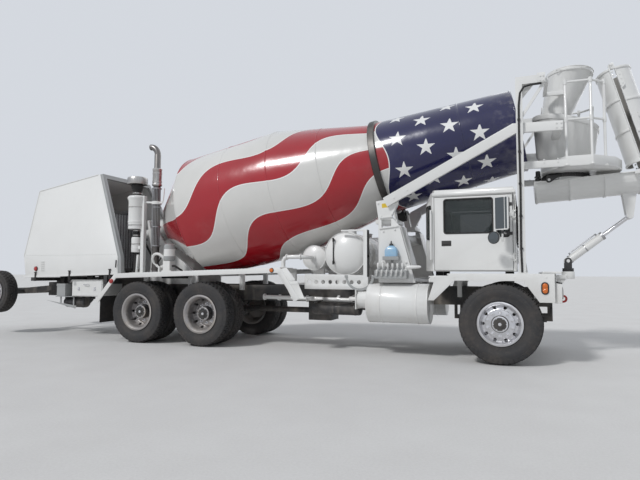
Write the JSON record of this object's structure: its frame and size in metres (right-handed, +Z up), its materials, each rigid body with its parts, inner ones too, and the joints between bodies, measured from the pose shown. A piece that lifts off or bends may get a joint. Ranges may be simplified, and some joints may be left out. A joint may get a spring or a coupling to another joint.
{
  "type": "front-discharge concrete mixer truck",
  "caption": "Concrete mixer truck with a tilted drum over the cab, a swinging folding chute ahead of it, a rear engine and a raised trailing axle.",
  "frame": {"origin": "on the ground, midway along the truck and across it", "axes": "+X forward to the cab and chute, +Y to the truck's left, +Z up"},
  "size_m": [12.5662, 2.7644, 4.348],
  "materials": {
    "white_paint": "gloss",
    "red_paint": "gloss",
    "grey_paint": "satin",
    "black_steel": "satin",
    "tyre_rubber": "matte",
    "flap_rubber": "matte",
    "wheel_steel": "satin",
    "front_alloy": "brushed",
    "bright_steel": "polished",
    "window_glass": "clear",
    "amber_lens": "gloss",
    "cab_trim": "matte"
  },
  "bodies": {
    "chassis": {"frame_rails": "black_steel", "front_bumper": "white_paint", "front_fenders": "white_paint", "axles": "black_steel", "cab_shell": "white_paint", "cab_glass": "window_glass", "cab_interior": "cab_trim", "mast_frame": "white_paint", "charge_hopper": "white_paint", "collector": "white_paint", "service_balcony": "white_paint", "water_tanks": "white_paint", "front_pedestal": "white_paint", "rear_pedestal": "white_paint", "drum_gearbox": "white_paint", "engine_hood": "white_paint", "hood_frame": "grey_paint", "radiator": "black_steel", "engine_block": "black_steel", "air_cleaner": "white_paint", "exhaust_stack": "bright_steel", "rear_fenders": "white_paint", "mudflaps": "flap_rubber", "side_tanks": "white_paint", "valve_bank": "bright_steel", "lamps": "amber_lens"},
    "drum": {"drum": "red_paint"},
    "roller_left": {"roller_left": "black_steel"},
    "roller_right": {"roller_right": "black_steel"},
    "door_left": {"door_left": "white_paint", "door_glass_left": "window_glass"},
    "door_right": {"door_right": "white_paint", "door_glass_right": "window_glass"},
    "chute_turntable": {"chute_turntable": "black_steel"},
    "main_chute": {"main_chute": "white_paint"},
    "chute_ram_barrel": {"chute_ram_barrel": "white_paint"},
    "chute_ram_rod": {"chute_ram_rod": "bright_steel"},
    "fold_chute": {"fold_chute": "white_paint", "tip_chute": "white_paint"},
    "tag_arm": {"tag_arm": "black_steel"},
    "tag_ram_barrel": {"tag_ram_barrel": "black_steel"},
    "tag_ram_rod": {"tag_ram_rod": "bright_steel"},
    "knuckle_left": {"knuckle_left": "black_steel"},
    "front_wheel_left": {"front_tyre_left": "tyre_rubber", "front_rim_left": "front_alloy"},
    "tag_wheel_left": {"tag_tyre_left": "tyre_rubber", "tag_rim_left": "wheel_steel"},
    "rear_wheel_1_left": {"rear_tyres_1_left": "tyre_rubber", "rear_rim_1_left": "wheel_steel"},
    "rear_wheel_2_left": {"rear_tyres_2_left": "tyre_rubber", "rear_rim_2_left": "wheel_steel"},
    "knuckle_right": {"knuckle_right": "black_steel"},
    "front_wheel_right": {"front_tyre_right": "tyre_rubber", "front_rim_right": "front_alloy"},
    "tag_wheel_right": {"tag_tyre_right": "tyre_rubber", "tag_rim_right": "wheel_steel"},
    "rear_wheel_1_right": {"rear_tyres_1_right": "tyre_rubber", "rear_rim_1_right": "wheel_steel"},
    "rear_wheel_2_right": {"rear_tyres_2_right": "tyre_rubber", "rear_rim_2_right": "wheel_steel"}
  },
  "joints": [
    {"name": "drum_spin", "type": "hinge", "parent": "chassis", "child": "drum", "pos_m": [0.02182, 0, 2.66], "axis": [0.9799, 0, 0.1994], "continuous": true},
    {"name": "roller_left_spin", "type": "hinge", "parent": "chassis", "child": "roller_left", "pos_m": [2.29042, 0.55092, 2.31864], "axis": [0.9799, 0, 0.1994], "continuous": true},
    {"name": "roller_right_spin", "type": "hinge", "parent": "chassis", "child": "roller_right", "pos_m": [2.29042, -0.55092, 2.31864], "axis": [0.9799, 0, 0.1994], "continuous": true},
    {"name": "door_right_hinge", "type": "hinge", "parent": "chassis", "child": "door_right", "pos_m": [4.21982, -1.038, 1.89], "axis": [0, 0, 1], "range_deg": [0, 70]},
    {"name": "door_left_hinge", "type": "hinge", "parent": "chassis", "child": "door_left", "pos_m": [4.21982, 1.038, 1.89], "axis": [0, 0, -1], "range_deg": [0, 70]},
    {"name": "steer_left", "type": "hinge", "parent": "chassis", "child": "knuckle_left", "pos_m": [4.02182, 0.85, 0.562], "axis": [0, 0, 1], "range_deg": [-30, 30]},
    {"name": "steer_right", "type": "hinge", "parent": "chassis", "child": "knuckle_right", "pos_m": [4.02182, -0.85, 0.562], "axis": [0, 0, 1], "range_deg": [-31, 31]},
    {"name": "front_wheel_left_spin", "type": "hinge", "parent": "knuckle_left", "child": "front_wheel_left", "pos_m": [4.02182, 1.01, 0.562], "axis": [0, 1, 0], "continuous": true},
    {"name": "rear_wheel_1_left_spin", "type": "hinge", "parent": "chassis", "child": "rear_wheel_1_left", "pos_m": [-0.82818, 0.9175, 0.552], "axis": [0, 1, 0], "continuous": true},
    {"name": "rear_wheel_2_left_spin", "type": "hinge", "parent": "chassis", "child": "rear_wheel_2_left", "pos_m": [-2.16818, 0.9175, 0.552], "axis": [0, 1, 0], "continuous": true},
    {"name": "front_wheel_right_spin", "type": "hinge", "parent": "knuckle_right", "child": "front_wheel_right", "pos_m": [4.02182, -1.01, 0.562], "axis": [0, 1, 0], "continuous": true},
    {"name": "rear_wheel_1_right_spin", "type": "hinge", "parent": "chassis", "child": "rear_wheel_1_right", "pos_m": [-0.82818, -0.9175, 0.552], "axis": [0, 1, 0], "continuous": true},
    {"name": "rear_wheel_2_right_spin", "type": "hinge", "parent": "chassis", "child": "rear_wheel_2_right", "pos_m": [-2.16818, -0.9175, 0.552], "axis": [0, 1, 0], "continuous": true},
    {"name": "chute_swing", "type": "hinge", "parent": "chassis", "child": "chute_turntable", "pos_m": [4.97182, 0, 2.735], "axis": [0, 0, 1], "range_deg": [-25, 25]},
    {"name": "chute_lift", "type": "hinge", "parent": "chute_turntable", "child": "main_chute", "pos_m": [4.72182, 0, 2.66], "axis": [0, 1, 0], "range_deg": [0, 18]},
    {"name": "chute_ram_tilt", "type": "hinge", "parent": "chute_turntable", "child": "chute_ram_barrel", "pos_m": [4.97182, 0, 1.45], "axis": [0, 1, 0], "range_deg": [-1, 12]},
    {"name": "chute_ram_slide", "type": "slide", "parent": "chute_ram_barrel", "child": "chute_ram_rod", "axis": [0.7863, 0, 0.6178], "range_m": [-0.38, 0.01]},
    {"name": "chute_fold", "type": "hinge", "parent": "main_chute", "child": "fold_chute", "pos_m": [6.00182, 0, 2.763], "axis": [0, 1, 0], "range_deg": [0, 101.51]},
    {"name": "tag_lift", "type": "hinge", "parent": "chassis", "child": "tag_arm", "pos_m": [-4.22818, 0, 1], "axis": [0, 1, 0], "range_deg": [-15, 5]},
    {"name": "tag_ram_tilt", "type": "hinge", "parent": "chassis", "child": "tag_ram_barrel", "pos_m": [-4.42818, 0, 0.72], "axis": [0, 1, 0], "range_deg": [-22, 10]},
    {"name": "tag_ram_slide", "type": "slide", "parent": "tag_ram_barrel", "child": "tag_ram_rod", "axis": [-0.9708, 0, 0.2398], "range_m": [-0.1, 0.05]},
    {"name": "tag_wheel_left_spin", "type": "hinge", "parent": "tag_arm", "child": "tag_wheel_left", "pos_m": [-5.84818, 1.0775, 0.86], "axis": [0, 1, 0], "continuous": true},
    {"name": "tag_wheel_right_spin", "type": "hinge", "parent": "tag_arm", "child": "tag_wheel_right", "pos_m": [-5.84818, -1.0775, 0.86], "axis": [0, 1, 0], "continuous": true}
  ],
  "couplings": [
    {"joint": "roller_left_spin", "follows": "drum_spin", "ratio": -6.3846},
    {"joint": "roller_right_spin", "follows": "drum_spin", "ratio": -6.3846},
    {"joint": "steer_right", "follows": "steer_left", "ratio": 1},
    {"joint": "chute_ram_tilt", "follows": "chute_lift", "ratio": 0.47872},
    {"joint": "chute_ram_slide", "follows": "chute_lift", "m_per_rad": -1.1374},
    {"joint": "tag_ram_tilt", "follows": "tag_lift", "ratio": 1.1868},
    {"joint": "tag_ram_slide", "follows": "tag_lift", "m_per_rad": 0.29787}
  ]
}
